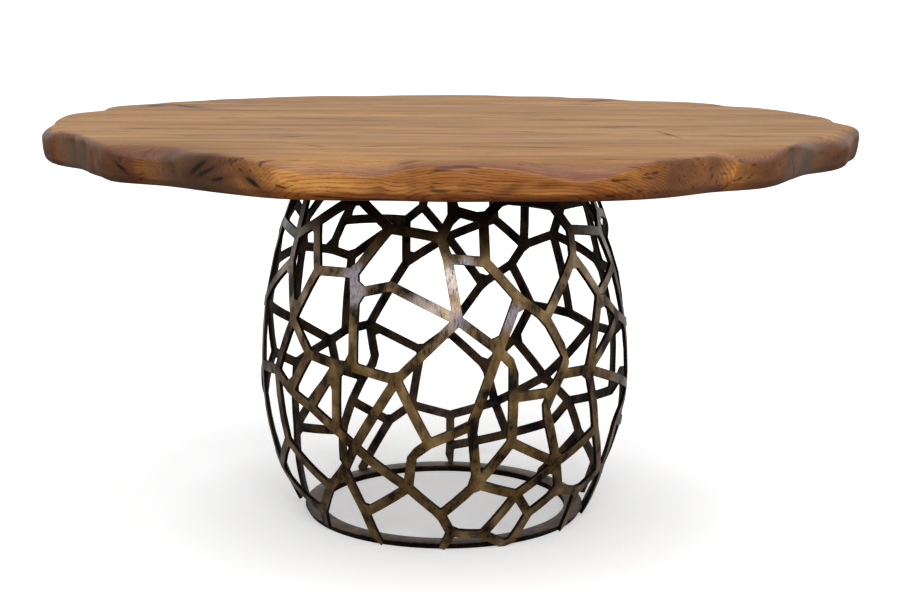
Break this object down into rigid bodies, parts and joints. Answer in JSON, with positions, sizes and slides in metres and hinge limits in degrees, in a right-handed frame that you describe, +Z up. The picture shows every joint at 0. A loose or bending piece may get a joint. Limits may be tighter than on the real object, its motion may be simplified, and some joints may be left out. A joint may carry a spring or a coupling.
{
  "type": "dining table",
  "caption": "Round dining table with a thick carved-edge wooden top on an open barrel of welded antiqued-bronze flat bars",
  "frame": {"origin": "on the floor, under the axis of the barrel, which is the middle of the top to within a few millimetres", "axes": "+Z up, -Y the pictured front, +X to the viewer's right, along the grain of the boards"},
  "size_m": [1.5211, 1.5197, 0.762],
  "materials": {
    "top_wood": "satin",
    "tongue_wood": "matte",
    "antiqued_bronze": "satin",
    "dark_bronze": "satin",
    "zinc_steel": "satin",
    "insert_brass": "satin"
  },
  "bodies": {
    "root": {"top_board_1": "top_wood", "top_board_2": "top_wood", "top_board_3": "top_wood", "top_board_4": "top_wood", "top_board_5": "top_wood", "top_board_6": "top_wood", "top_board_7": "top_wood", "top_board_8": "top_wood", "top_board_9": "top_wood", "board_tongues": "tongue_wood", "floor_ring": "dark_bronze", "lattice_back_left_lower": "antiqued_bronze", "lattice_back_left_middle": "antiqued_bronze", "lattice_back_left_upper": "antiqued_bronze", "lattice_back_lower": "antiqued_bronze", "lattice_back_middle": "antiqued_bronze", "lattice_back_right_lower": "antiqued_bronze", "lattice_back_right_middle": "antiqued_bronze", "lattice_back_right_upper": "antiqued_bronze", "lattice_back_upper": "antiqued_bronze", "lattice_front_left_lower": "antiqued_bronze", "lattice_front_left_middle": "antiqued_bronze", "lattice_front_left_upper": "antiqued_bronze", "lattice_front_lower": "antiqued_bronze", "lattice_front_middle": "antiqued_bronze", "lattice_front_right_lower": "antiqued_bronze", "lattice_front_right_middle": "antiqued_bronze", "lattice_front_right_upper": "antiqued_bronze", "lattice_front_upper": "antiqued_bronze", "lattice_left_lower": "antiqued_bronze", "lattice_left_middle": "antiqued_bronze", "lattice_left_upper": "antiqued_bronze", "lattice_right_lower": "antiqued_bronze", "lattice_right_middle": "antiqued_bronze", "lattice_right_upper": "antiqued_bronze", "mounting_ring": "dark_bronze", "mounting_bolts": "zinc_steel", "mounting_washers": "zinc_steel", "threaded_inserts": "insert_brass"}
  },
  "joints": []
}
